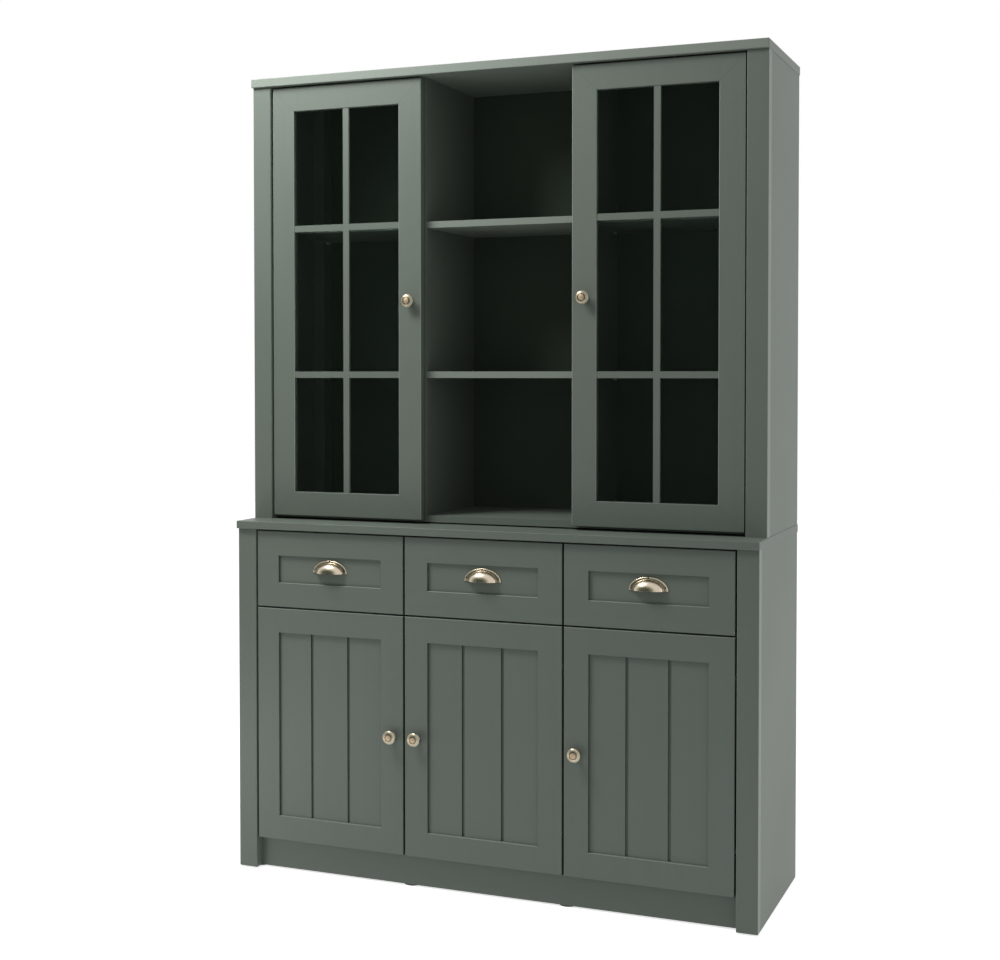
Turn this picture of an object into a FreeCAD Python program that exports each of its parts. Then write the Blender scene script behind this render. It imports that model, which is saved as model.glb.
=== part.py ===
import FreeCAD, Part
import Sketcher
import os
import re

# A painted hutch: a base cabinet with three drawers over three doors, and a glazed upper cabinet on top.
# Millimetres. Z is up, the front faces -Y, and the origin lies on the floor under the middle of the whole box.

doc = FreeCAD.newDocument("Hutch")
sheet = doc.addObject("Spreadsheet::Sheet", "Sizes")

# Sizes that can be set by themselves
SIZES = {
    # Base cabinet
    "cabinet_width": 1250,
    "base_depth": 404,
    "base_height": 806.5,
    "base_top_thickness": 18,
    "base_top_front_overhang": 7.5,
    "base_top_side_overhang": 1.5,
    "foot_height": 4,
    "foot_diameter": 46,
    "foot_underside_diameter": 42,
    "foot_from_side": 35,
    "inner_foot_spacing": 380,
    "plinth_height": 75,
    "plinth_cover": 2.5,
    "post_width": 47,
    "side_thickness": 16,
    "board_thickness": 15,
    "back_thickness": 4,
    "back_inset": 16,
    "rail_depth": 60,
    "shelf_setback": 20,
    "base_shelf_rise": 255,
    # Upper cabinet
    "hutch_setback": 75,
    "hutch_height": 1034.5,
    "hutch_top_thickness": 20,
    "hutch_top_front_overhang": 8,
    "hutch_top_side_overhang": 1.5,
    "hutch_bottom_raise": 3.5,
    "hutch_divider_spacing": 374,
    "shelf_thickness": 15,
    "lower_shelf_rise": 346.5,
    "upper_shelf_rise": 694,
    # Doors and drawer fronts
    "front_gap": 4,
    "front_thickness": 18,
    "base_front_recess": 1.5,
    "hutch_front_recess": 5,
    "door_back_gap": 4,
    "drawer_front_height": 178,
    "frame_width": 57,
    "field_depth": 6,
    "arris_radius": 1.5,
    "groove_spacing": 95,
    "groove_width": 7,
    "groove_depth": 4.5,
    "hutch_door_lift": 9.2,
    "divider_reveal": 5,
    # Glazing
    "bar_width": 15,
    "bar_setback": 1.5,
    "rebate_width": 8,
    "rebate_depth": 10,
    "glass_thickness": 4,
    "glass_edge_clearance": 0.5,
    # Packing battens behind the posts
    "rear_batten_depth": 40,
    "runner_batten_height": 45,
    # Shelf supports
    "support_reach": 8,
    "support_depth": 10,
    "support_height": 6,
    "front_support_place": 40,
    "rear_support_place": 25,
    # Drawer boxes and their runners
    "box_board": 12,
    "box_height": 110,
    "box_depth": 340,
    "box_rise": 20.5,
    "box_bottom_thickness": 4,
    "box_bottom_rise": 6,
    "slide_gap": 13,
    "slide_width": 9.5,
    "slide_height": 20,
    "slide_rise": 45,
    "slide_length": 330,
    "slide_clearance": 0.3,
    "runner_gauge": 2,
    "runner_lip": 12,
    "runner_height": 27,
    "runner_front_clearance": 2,
    # Concealed hinges
    "hinge_from_end": 90,
    "pivot_from_edge": 9,
    "pivot_from_face": 7.5,
    "cup_diameter": 35,
    "cup_from_edge": 20.5,
    "cup_depth": 12.5,
    "cup_clearance": 0.2,
    "hinge_slot_height": 14,
    "hinge_slot_skin": 3,
    "pin_diameter": 3,
    "pin_length": 19,
    "pin_clearance": 0.1,
    "eye_diameter": 7,
    "arm_height": 12,
    "arm_width": 5,
    "arm_length": 45,
    "arm_plate_height": 40,
    "arm_plate_gauge": 2,
    # Knobs
    "knob_diameter": 31,
    "knob_reach": 22,
    "knob_drop": 2.5,
    "knob_foot_diameter": 20,
    "knob_foot_thickness": 3,
    "knob_neck_diameter": 11,
    "knob_flare": 4,
    "knob_neck_length": 5.5,
    "knob_rim_thickness": 4,
    "knob_rim_width": 2.5,
    "knob_dome_height": 4,
    # Cup pulls
    "pull_width": 89,
    "pull_height": 30,
    "pull_plate": 1.2,
    "pull_crown": 4.5,
    "pull_rim": 0.8,
    "pull_dome_width": 72,
    "pull_dome_height": 24.5,
    "pull_reach": 22,
    "pull_wall": 1.8,
    "pull_drop": 4,
    # Steel brackets at the back
    "bracket_gauge": 2,
    "bracket_leg": 36,
    "bracket_width": 14,
    "wall_bracket_from_side": 119,
    "wall_bracket_width": 30,
    "wall_hole_diameter": 5,
    "wall_hole_drop": 19,
}

# Places worked out from the sizes above
PLACES = {
    "half_width": "cabinet_width / 2",
    "side_inner": "half_width - side_thickness",
    "post_inner": "half_width - post_width",
    "post_face": "-(base_depth + base_front_recess - knob_reach) / 2",
    "rear": "post_face + base_depth",
    "back_rear": "rear - back_inset",
    "back_front": "back_rear - back_thickness",
    "base_door_face": "post_face + base_front_recess",
    "base_door_back": "base_door_face + front_thickness",
    "base_carcass_front": "base_door_back + door_back_gap",
    "hutch_post_face": "post_face + hutch_setback",
    "hutch_door_face": "hutch_post_face + hutch_front_recess",
    "hutch_door_back": "hutch_door_face + front_thickness",
    "hutch_carcass_front": "hutch_door_back + door_back_gap",
    "carcass_bottom": "foot_height",
    "plinth_top": "carcass_bottom + plinth_height",
    "base_floor": "plinth_top + board_thickness",
    "base_under_top": "carcass_bottom + base_height",
    "base_top": "base_under_top + base_top_thickness",
    "hutch_bottom": "base_top + hutch_bottom_raise",
    "hutch_floor": "hutch_bottom + board_thickness",
    "hutch_under_top": "base_top + hutch_height",
    "hutch_top": "hutch_under_top + hutch_top_thickness",
    "lower_shelf": "base_top + lower_shelf_rise - shelf_thickness / 2",
    "upper_shelf": "base_top + upper_shelf_rise - shelf_thickness / 2",
    "base_shelf": "base_floor + base_shelf_rise",
    "front_width": "(2 * post_inner - 4 * front_gap) / 3",
    "front_pitch": "front_width + front_gap",
    "drawer_top": "base_under_top - front_gap",
    "drawer_bottom": "drawer_top - drawer_front_height",
    "base_door_top": "drawer_bottom - front_gap",
    "base_door_bottom": "plinth_top - plinth_cover",
    "base_door_height": "base_door_top - base_door_bottom",
    "rail_bottom": "base_door_top + front_gap / 2 - board_thickness / 2",
    "bay_half": "(front_pitch - board_thickness) / 2",
    "outer_bay_near": "front_pitch / 2 + board_thickness / 2",
    "runner_wall": "front_pitch + bay_half",
    "hutch_divider_inner": "(hutch_divider_spacing - board_thickness) / 2",
    "hutch_divider_outer": "(hutch_divider_spacing + board_thickness) / 2",
    "glass_door_near": "hutch_divider_inner + divider_reveal",
    "glass_door_far": "post_inner - front_gap",
    "glass_door_width": "glass_door_far - glass_door_near",
    "glass_door_bottom": "base_top + hutch_door_lift",
    "glass_door_top": "hutch_under_top - front_gap",
    "glass_door_height": "glass_door_top - glass_door_bottom",
    "glass_door_middle": "(glass_door_bottom + glass_door_top) / 2",
    "box_bottom": "drawer_bottom + box_rise",
    "box_half": "bay_half - slide_gap",
    "slide_bottom": "box_bottom + slide_rise",
    "runner_bottom": "slide_bottom - slide_clearance - runner_gauge",
    "runner_batten_bottom": "runner_bottom + runner_height / 2 - runner_batten_height / 2",
    "pull_face": "base_door_face + field_depth",
    "pull_bottom": "drawer_bottom + drawer_front_height / 2 - pull_drop",
}


def fill_sheet():
    row = 1
    for alias, number in SIZES.items():
        sheet.set(f"A{row}", alias)
        sheet.set(f"B{row}", str(number))
        sheet.setAlias(f"B{row}", alias)
        row += 1
    for alias, formula in PLACES.items():
        sheet.set(f"A{row}", alias)
        sheet.set(f"B{row}", "=" + formula)
        sheet.setAlias(f"B{row}", alias)
        row += 1
    doc.recompute()


def on_sheet(formula):
    """The formula with each alias named as a cell of the sheet."""
    return re.sub(r"[a-z_]+", r"Sizes.\g<0>", str(formula))


def number_of(formula):
    return float(sheet.evalExpression(on_sheet(formula)))


def bind(piece, **formulas):
    for prop, formula in formulas.items():
        piece.setExpression(prop, on_sheet(formula))


def place(piece, x, y, z):
    for axis, formula in zip("xyz", (x, y, z)):
        piece.setExpression(f"Placement.Base.{axis}", on_sheet(formula))


def turn(piece, axis, degrees):
    piece.Placement = FreeCAD.Placement(FreeCAD.Vector(), FreeCAD.Rotation(FreeCAD.Vector(*axis), degrees))


def mirrored(side, near, far):
    """The span from near to far on the +X side, or its mirror image when side is -1."""
    if side > 0:
        return near, far
    return f"-({far})", f"-({near})"


def around(centre, width):
    return f"{centre} - ({width}) / 2", f"{centre} + ({width}) / 2"


def board(label, x, y, z):
    """A rectangular piece between two formulas along each axis."""
    piece = doc.addObject("Part::Box", label)
    bind(
        piece,
        Length=f"({x[1]}) - ({x[0]})",
        Width=f"({y[1]}) - ({y[0]})",
        Height=f"({z[1]}) - ({z[0]})",
    )
    place(piece, x[0], y[0], z[0])
    return piece


def rod(label, diameter, x, y, z, axis="z"):
    """A round piece along Z or Y, where the span of formulas along its axis gives its length."""
    piece = doc.addObject("Part::Cylinder", label)
    bind(piece, Radius=f"({diameter}) / 2")
    if axis == "z":
        bind(piece, Height=f"({z[1]}) - ({z[0]})")
        place(piece, x, y, z[0])
    else:
        turn(piece, (1, 0, 0), -90)
        bind(piece, Height=f"({y[1]}) - ({y[0]})")
        place(piece, x, y[0], z)
    return piece


def group(label, pieces):
    piece = doc.addObject("Part::Compound", label)
    piece.Links = pieces
    return piece


def fused(label, pieces):
    piece = doc.addObject("Part::MultiFuse", label)
    piece.Shapes = pieces
    piece.Refine = True
    return piece


def cut(label, base, tool):
    piece = doc.addObject("Part::Cut", label)
    piece.Base = base
    piece.Tool = tool
    return piece


def common(label, base, tool):
    piece = doc.addObject("Part::Common", label)
    piece.Base = base
    piece.Tool = tool
    return piece


def upright_sketch(body, name, loops, depth="0"):
    """Straight-sided closed loops of formula corners on the body's XZ plane, moved back by depth."""
    sketch = body.newObject("Sketcher::SketchObject", name)
    plane = next(feature for feature in body.Origin.OriginFeatures if feature.Role == "XZ_Plane")
    sketch.AttachmentSupport = [(plane, "")]
    sketch.MapMode = "FlatFace"
    sketch.setExpression("AttachmentOffset.Base.z", on_sheet(f"-({depth})"))
    for corners in loops:
        draw_loop(sketch, corners)
    return sketch


def draw_loop(sketch, corners):
    """Lines through the corners in turn. A third entry "arc" bows the line to the next corner about the V axis."""
    points = [FreeCAD.Vector(number_of(corner[0]), number_of(corner[1]), 0) for corner in corners]
    lines = []
    for index, start in enumerate(points):
        end = points[(index + 1) % len(points)]
        if len(corners[index]) == 3:
            lines.append(sketch.addGeometry(axis_arc(start, end)))
            sketch.addConstraint(Sketcher.Constraint("PointOnObject", lines[-1], 3, -2))
        else:
            lines.append(sketch.addGeometry(Part.LineSegment(start, end)))
    for index, line in enumerate(lines):
        following = lines[(index + 1) % len(lines)]
        sketch.addConstraint(Sketcher.Constraint("Coincident", line, 2, following, 1))
    for line, corner in zip(lines, corners):
        hold_corner(sketch, line, "DistanceX", corner[0], -2)
        hold_corner(sketch, line, "DistanceY", corner[1], -1)


def hold_corner(sketch, line, kind, formula, axis):
    """Ties the start of a line to a formula, or to the sketch's own axis where that is zero."""
    if formula == "0":
        sketch.addConstraint(Sketcher.Constraint("PointOnObject", line, 1, axis))
        return
    index = sketch.addConstraint(Sketcher.Constraint(kind, -1, 1, line, 1, number_of(formula)))
    sketch.setExpression(f"Constraints[{index}]", on_sheet(formula))


def axis_arc(start, end):
    """The arc from a point to one on the V axis, centred on that axis."""
    rise = end.y - start.y
    radius = (start.x**2 + rise**2) / (2 * rise)
    centre = FreeCAD.Vector(0, end.y - radius, 0)
    circle = Part.Circle(centre, FreeCAD.Vector(0, 0, 1), radius)
    return Part.ArcOfCircle(circle, circle.parameter(start), circle.parameter(end))


def rectangle(x, z):
    return [(x[0], z[0]), (x[1], z[0]), (x[1], z[1]), (x[0], z[1])]


def padded(body, name, loops, length):
    """Material from the body's XZ plane towards its back."""
    pad = body.newObject("PartDesign::Pad", name)
    pad.Profile = upright_sketch(body, name + "_outline", loops)
    pad.Reversed = True
    bind(pad, Length=length)
    return pad


def pocketed(body, name, loops, length, depth="0"):
    """A pocket from depth behind the body's XZ plane towards its back."""
    pocket = body.newObject("PartDesign::Pocket", name)
    pocket.Profile = upright_sketch(body, name + "_outline", loops, depth)
    bind(pocket, Length=length)
    return pocket


def eased(body, name, wanted):
    """Rounds those edges of the body for which wanted says yes."""
    doc.recompute()
    sharp = body.Tip
    edges = [f"Edge{index}" for index, edge in enumerate(sharp.Shape.Edges, 1) if wanted(edge)]
    rounding = body.newObject("PartDesign::Fillet", name)
    rounding.Base = (sharp, edges)
    bind(rounding, Radius="arris_radius")


def in_front(edge):
    """Whether an edge lies in the body's own front plane."""
    return edge.BoundBox.YMax < ON_PLANE


def upright(edge):
    return edge.BoundBox.XLength < ON_PLANE and edge.BoundBox.YLength < ON_PLANE


def eased_board(label, x, y, z, wanted):
    """A rectangular piece between two formulas along each axis, with its wanted edges rounded."""
    body = doc.addObject("PartDesign::Body", label)
    outline = rectangle(("0", f"({x[1]}) - ({x[0]})"), ("0", f"({z[1]}) - ({z[0]})"))
    padded(body, label + "_stock", [outline], f"({y[1]}) - ({y[0]})")
    eased(body, label + "_rounding", wanted)
    place(body, x[0], y[0], z[0])
    return body


def top_slab(label, overhang, front, z):
    """A top board that overhangs the front and both sides, rounded on all edges but those at the wall."""
    x = around("0", f"cabinet_width + 2 * {overhang}")
    return eased_board(label, x, (front, "rear"), z, lambda edge: edge.BoundBox.YMin < ON_PLANE)


def post_pair(label, y, z):
    """The two front posts of a cabinet, rounded on their upright front edges."""
    names = {-1: "left", 1: "right"}
    return [
        eased_board(
            f"{label}_{names[side]}",
            mirrored(side, "post_inner", "half_width"),
            y,
            z,
            lambda edge: in_front(edge) and upright(edge),
        )
        for side in (-1, 1)
    ]


def front_panel(label, left, bottom, height, grooved):
    """A door or drawer front: a raised frame round a sunk field, which may have two upright grooves."""
    body = doc.addObject("PartDesign::Body", label)
    padded(body, label + "_slab", [rectangle(("0", "front_width"), ("0", height))], "front_thickness")
    field_z = ("frame_width", f"{height} - frame_width")
    field = rectangle(("frame_width", "front_width - frame_width"), field_z)
    pocketed(body, label + "_field", [field], "field_depth")
    eased(body, label + "_rounding", in_front)
    if grooved:
        centres = ("front_width / 2 - groove_spacing / 2", "front_width / 2 + groove_spacing / 2")
        grooves = [rectangle(around(centre, "groove_width"), field_z) for centre in centres]
        pocketed(body, label + "_grooves", grooves, "groove_depth", "field_depth")
    place(body, left, "base_door_face", bottom)
    return body


def inward(edge, side, near, far):
    """The span that lies near to far from a hinge edge into its door. Side is +1 for a right-hand hinge."""
    if side > 0:
        return f"{edge} - ({far})", f"{edge} - ({near})"
    return f"{edge} + ({near})", f"{edge} + ({far})"


def from_edge(edge, side, distance):
    return f"{edge} - ({distance})" if side > 0 else f"{edge} + ({distance})"


def hinge_cutter(label, edge, side, face, height):
    """The bore for one hinge cup and the slot that lets its arm out at the edge and the back."""
    back = f"{face} + front_thickness"
    bore = rod(
        label + "_bore",
        "cup_diameter + 2 * cup_clearance",
        from_edge(edge, side, "cup_from_edge"),
        (f"{back} - cup_depth - cup_clearance", f"{back} + cup_depth"),
        height,
        axis="y",
    )
    return fused(label, [bore, hinge_slot(label + "_slot", edge, side, face, height)])


def hinge_slot(label, edge, side, face, height):
    return board(
        label,
        inward(edge, side, "-cup_from_edge", "cup_from_edge"),
        (f"{face} + hinge_slot_skin", f"{face} + front_thickness + cup_depth"),
        around(height, "hinge_slot_height"),
    )


def hinge_cup(label, edge, side, face, height):
    """One cup in the door's back, slotted for the arm, with the pin across the slot."""
    back = f"{face} + front_thickness"
    cup_x = from_edge(edge, side, "cup_from_edge")
    cup = rod(label + "_cup", "cup_diameter", cup_x, (f"{back} - cup_depth", back), height, axis="y")
    slotted = cut(label + "_slotted", cup, hinge_slot(label + "_opening", edge, side, face, height))
    pin = rod(
        label + "_pin",
        "pin_diameter",
        from_edge(edge, side, "pivot_from_edge"),
        f"{face} + pivot_from_face",
        around(height, "pin_length"),
    )
    return fused(label, [slotted, pin])


def hinge_arm(label, edge, side, face, wall, height):
    """One fixed arm: a plate and block on the carcass wall, and a neck out to the eye round the pin."""
    pivot_x = from_edge(edge, side, "pivot_from_edge")
    pivot_y = f"{face} + pivot_from_face"
    carcass_front = f"{face} + front_thickness + door_back_gap"
    neck_x = around(pivot_x, "arm_width")
    # The block runs from the wall to the far side of the neck
    block_x = (neck_x[0], wall) if side > 0 else (wall, neck_x[1])
    plate_x = (f"{wall} - arm_plate_gauge", wall) if side > 0 else (wall, f"{wall} + arm_plate_gauge")
    body_z = around(height, "arm_height")
    arm_y = (carcass_front, f"{carcass_front} + arm_length")
    arm = fused(
        label + "_solid",
        [
            rod(label + "_eye", "eye_diameter", pivot_x, pivot_y, body_z),
            board(label + "_neck", neck_x, (pivot_y, carcass_front), body_z),
            board(label + "_block", block_x, arm_y, body_z),
            board(label + "_plate", plate_x, arm_y, around(height, "arm_plate_height")),
        ],
    )
    hole = rod(label + "_hole", "pin_diameter + 2 * pin_clearance", pivot_x, pivot_y, body_z)
    return cut(label, arm, hole)


def hinged(label, panel, edge, side, face, wall, heights):
    """The panel bored for its hinges, the cups in it and the arms on the carcass wall."""
    cutters = []
    cups = []
    for number, height in enumerate(heights, 1):
        cutters.append(hinge_cutter(f"{label}_hinge_cutter_{number}", edge, side, face, height))
        cups.append(hinge_cup(f"{label}_hinge_cup_{number}", edge, side, face, height))
        arms.append(hinge_arm(f"{label}_hinge_arm_{number}", edge, side, face, wall, height))
    bored = cut(f"{label}_bored", panel, group(f"{label}_hinge_cutters", cutters))
    return bored, group(f"{label}_hinge_cups", cups)


def knob(label, x, face, z):
    """A turned knob: foot, flared neck and a head with a raised rim round a low dome."""
    body = doc.addObject("PartDesign::Body", label)
    sketch = body.newObject("Sketcher::SketchObject", label + "_profile")
    plane = next(feature for feature in body.Origin.OriginFeatures if feature.Role == "XY_Plane")
    sketch.AttachmentSupport = [(plane, "")]
    sketch.MapMode = "FlatFace"
    neck_end = "knob_foot_thickness + knob_flare + knob_neck_length"
    rim_front = "knob_reach - knob_dome_height + knob_rim_width / 2"
    draw_loop(
        sketch,
        [
            ("0", "0"),
            ("knob_foot_diameter / 2", "0"),
            ("knob_foot_diameter / 2", "knob_foot_thickness"),
            ("knob_neck_diameter / 2", "knob_foot_thickness + knob_flare"),
            ("knob_neck_diameter / 2", neck_end),
            ("knob_diameter / 2 - knob_rim_width / 2", f"{rim_front} - knob_rim_thickness"),
            ("knob_diameter / 2", f"{rim_front} - knob_rim_thickness + knob_rim_width / 2"),
            ("knob_diameter / 2", f"{rim_front} - knob_rim_width / 2"),
            ("knob_diameter / 2 - knob_rim_width / 2", rim_front),
            ("knob_diameter / 2 - knob_rim_width", rim_front),
            ("knob_diameter / 2 - knob_rim_width", "knob_reach - knob_dome_height", "arc"),
            ("0", "knob_reach"),
        ],
    )
    turned = body.newObject("PartDesign::Revolution", label + "_turned")
    turned.Profile = sketch
    turned.ReferenceAxis = (sketch, ["V_Axis"])
    turned.Angle = 360
    turn(body, (0, 0, 1), 180)
    place(body, x, face, z)
    return body


def egg(label, width, height, reach, x, y, z):
    """A whole ellipsoid, from its full width and from its height and reach on one side of its centre."""
    piece = doc.addObject("Part::Ellipsoid", label)
    piece.Angle1 = -90
    piece.Angle2 = 90
    bind(piece, Radius1=height, Radius2=f"({width}) / 2", Radius3=reach)
    place(piece, x, y, z)
    return piece


def cup_pull(label, x):
    """A cup pull: a half-oval back plate, its crowned face inside a narrow rim, and a hollow dome, open below."""
    face = "pull_face"
    plate_front = "pull_face - pull_plate"
    z = "pull_bottom"
    across = around(x, "pull_width")
    upper_half = (z, f"{z} + pull_height")
    plate = common(
        label + "_plate",
        egg(label + "_plate_oval", "pull_width", "pull_height", "pull_width", x, face, z),
        board(label + "_plate_slab", across, (plate_front, face), upper_half),
    )
    crown = common(
        label + "_crown",
        egg(
            label + "_crown_oval",
            "pull_width - 2 * pull_rim",
            "pull_height - pull_rim",
            "pull_crown",
            x,
            plate_front,
            z,
        ),
        board(label + "_crown_slab", across, (f"{plate_front} - pull_crown", plate_front), upper_half),
    )
    dome = common(
        label + "_dome",
        egg(label + "_dome_oval", "pull_dome_width", "pull_dome_height", "pull_reach", x, face, z),
        board(label + "_dome_slab", across, (f"{face} - pull_reach", face), upper_half),
    )
    hollow = egg(
        label + "_hollow",
        "pull_dome_width - 2 * pull_wall",
        "pull_dome_height - pull_wall",
        "pull_reach - pull_wall",
        x,
        face,
        z,
    )
    return cut(label, fused(label + "_solid", [plate, crown, dome]), hollow)


def foot(label, x, y):
    piece = doc.addObject("Part::Cone", label)
    bind(piece, Radius1="foot_underside_diameter / 2", Radius2="foot_diameter / 2", Height="foot_height")
    place(piece, x, y, "0")
    return piece


def both_sides(label, near, far, y, z):
    """A pair of boards, one on each side of the middle."""
    names = {-1: "left", 1: "right"}
    return [board(f"{label}_{names[side]}", mirrored(side, near, far), y, z) for side in (-1, 1)]


def shelf_on_supports(label, x, y, z, thickness):
    """One loose shelf between two walls and the four supports under its corners."""
    shelf = board(label, x, y, (z, f"{z} + {thickness}"))
    places_x = ((x[0], f"{x[0]} + support_reach"), (f"{x[1]} - support_reach", x[1]))
    places_y = (f"{y[0]} - shelf_setback + front_support_place", f"{y[1]} - rear_support_place")
    for column, support_x in enumerate(places_x):
        for line, support_y in enumerate(places_y):
            supports.append(
                board(
                    f"{label}_support_{column}{line}",
                    support_x,
                    around(support_y, "support_depth"),
                    (f"{z} - support_height", z),
                )
            )
    return shelf


def base_cabinet():
    deep = ("base_carcass_front", "back_front")
    inside = ("-side_inner", "side_inner")
    sides = both_sides(
        "base_side", "side_inner", "half_width", ("base_carcass_front", "rear"), ("carcass_bottom", "base_under_top")
    )
    posts = post_pair("base_post", ("post_face", "base_carcass_front"), ("carcass_bottom", "base_under_top"))
    dividers = both_sides(
        "base_divider",
        "front_pitch / 2 - board_thickness / 2",
        "outer_bay_near",
        deep,
        ("base_floor", "base_under_top"),
    )
    plinth_z = ("carcass_bottom", "plinth_top")
    plinth = [
        board("plinth_front", inside, ("base_carcass_front", "base_carcass_front + board_thickness"), plinth_z),
        board("plinth_back", inside, ("back_front - board_thickness", "back_front"), plinth_z),
    ]
    nodes["base_top_board"] = top_slab(
        "base_top_slab",
        "base_top_side_overhang",
        "post_face - base_top_front_overhang",
        ("base_under_top", "base_top"),
    )
    nodes["base_left_side"], nodes["base_right_side"] = sides
    nodes["base_posts"] = group("base_post_pair", posts)
    nodes["base_bottom_board"] = board("base_bottom", inside, deep, ("plinth_top", "base_floor"))
    nodes["base_dividers"] = group("base_divider_pair", dividers)
    nodes["base_back_panel"] = board(
        "base_back", inside, ("back_front", "back_rear"), ("plinth_top", "base_under_top")
    )
    nodes["plinth_boards"] = group("plinth_pair", plinth)


def base_fittings():
    """Rails, shelves and feet of the base cabinet."""
    bays = {
        "left": ("-post_inner", "-outer_bay_near"),
        "middle": ("-bay_half", "bay_half"),
        "right": ("outer_bay_near", "post_inner"),
    }
    rail_y = ("base_carcass_front", "base_carcass_front + rail_depth")
    rail_z = ("rail_bottom", "rail_bottom + board_thickness")
    shelf_y = ("base_carcass_front + shelf_setback", "back_front")
    nodes["base_rails"] = group(
        "base_rail_set", [board(f"base_rail_{bay}", x, rail_y, rail_z) for bay, x in bays.items()]
    )
    nodes["base_shelves"] = group(
        "base_shelf_set",
        [
            shelf_on_supports(f"base_shelf_{bay}", x, shelf_y, "base_shelf", "board_thickness")
            for bay, x in bays.items()
        ],
    )
    outer = "half_width - foot_from_side"
    inner = "inner_foot_spacing / 2"
    columns = (f"-({outer})", f"-({inner})", inner, outer)
    rows = ("base_carcass_front + foot_diameter / 2", "back_front - foot_diameter / 2")
    nodes["feet"] = group(
        "foot_set",
        [foot(f"foot_{line}{column}", x, y) for line, y in enumerate(rows) for column, x in enumerate(columns)],
    )


def packing_battens():
    """Battens that fill the space between the side panels and the inner faces of the posts."""
    base_front = ("base_carcass_front", "base_carcass_front + rail_depth")
    hutch_front = ("hutch_carcass_front", "hutch_carcass_front + rail_depth")
    rear = ("back_front - rear_batten_depth", "back_front")
    runner_z = ("runner_batten_bottom", "runner_batten_bottom + runner_batten_height")
    hutch_z = ("hutch_floor", "hutch_under_top")
    spans = {
        "base_front_batten": ("post_inner", "side_inner", base_front, ("base_floor", "base_under_top")),
        "base_rear_batten": ("post_inner", "side_inner", rear, ("base_floor", "rail_bottom")),
        "runner_front_batten": ("runner_wall", "post_inner", base_front, runner_z),
        "runner_rear_batten": ("runner_wall", "side_inner", (base_front[1], "back_front"), runner_z),
        "hutch_front_batten": ("post_inner", "side_inner", hutch_front, hutch_z),
        "hutch_rear_batten": ("post_inner", "side_inner", rear, hutch_z),
    }
    battens = []
    for label, span in spans.items():
        battens.extend(both_sides(label, *span))
    nodes["packers"] = group("batten_set", battens)


def upper_cabinet():
    deep = ("hutch_carcass_front", "back_front")
    inside = ("-side_inner", "side_inner")
    standing = ("base_top", "hutch_under_top")
    nodes["hutch_top_board"] = top_slab(
        "hutch_top_slab",
        "hutch_top_side_overhang",
        "hutch_post_face - hutch_top_front_overhang",
        ("hutch_under_top", "hutch_top"),
    )
    sides = both_sides("hutch_side", "side_inner", "half_width", ("hutch_carcass_front", "rear"), standing)
    nodes["hutch_left_side"], nodes["hutch_right_side"] = sides
    posts = post_pair("hutch_post", ("hutch_post_face", "hutch_carcass_front"), standing)
    nodes["hutch_posts"] = group("hutch_post_pair", posts)
    nodes["hutch_bottom_board"] = board("hutch_bottom_slab", inside, deep, ("hutch_bottom", "hutch_floor"))
    dividers = both_sides(
        "hutch_divider", "hutch_divider_inner", "hutch_divider_outer", deep, ("hutch_floor", "hutch_under_top")
    )
    nodes["hutch_dividers"] = group("hutch_divider_pair", dividers)
    nodes["hutch_back_panel"] = board(
        "hutch_back", inside, ("back_front", "back_rear"), ("hutch_bottom", "hutch_under_top")
    )
    middle = ("-hutch_divider_inner", "hutch_divider_inner")
    levels = {"lower": "lower_shelf", "upper": "upper_shelf"}
    nodes["middle_shelves"] = group(
        "middle_shelf_pair",
        [
            board(f"middle_shelf_{level}", middle, deep, (z, f"{z} + shelf_thickness"))
            for level, z in levels.items()
        ],
    )
    side_y = ("hutch_carcass_front + shelf_setback", "back_front")
    side_shelves = []
    for side, word in ((-1, "left"), (1, "right")):
        x = mirrored(side, "hutch_divider_outer", "post_inner")
        for level, z in levels.items():
            label = f"side_shelf_{word}_{level}"
            side_shelves.append(shelf_on_supports(label, x, side_y, z, "shelf_thickness"))
    nodes["side_shelves"] = group("side_shelf_set", side_shelves)


def back_brackets():
    """Steel angles in the recess behind the back panels."""
    behind = around("back_rear + back_inset / 2", "bracket_width")
    joining = []
    wall = []
    for side, word in ((-1, "left"), (1, "right")):
        standing = board(
            f"joining_standing_{word}",
            mirrored(side, "side_inner - bracket_gauge", "side_inner"),
            behind,
            ("base_top", "base_top + bracket_leg"),
        )
        flat = board(
            f"joining_flat_{word}",
            mirrored(side, "side_inner - bracket_leg", "side_inner"),
            behind,
            ("base_top", "base_top + bracket_gauge"),
        )
        joining.append(fused(f"joining_bracket_{word}", [standing, flat]))
        wall.append(wall_bracket(word, f"{side} * (side_inner - wall_bracket_from_side)"))
    nodes["joining_brackets"] = group("joining_bracket_pair", joining)
    nodes["wall_brackets"] = group("wall_bracket_pair", wall)


def wall_bracket(word, x):
    span = around(x, "wall_bracket_width")
    hung = ("hutch_under_top - bracket_leg", "hutch_under_top")
    flat = board(f"wall_flat_{word}", span, ("back_rear", "rear"), ("hutch_under_top - bracket_gauge", hung[1]))
    standing = board(f"wall_standing_{word}", span, ("rear - bracket_gauge", "rear"), hung)
    angle = fused(f"wall_angle_{word}", [flat, standing])
    hole = rod(
        f"wall_hole_{word}",
        "wall_hole_diameter",
        x,
        ("rear - bracket_gauge", "rear"),
        "hutch_under_top - wall_hole_drop",
        axis="y",
    )
    return cut(f"wall_bracket_{word}", angle, hole)


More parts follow.
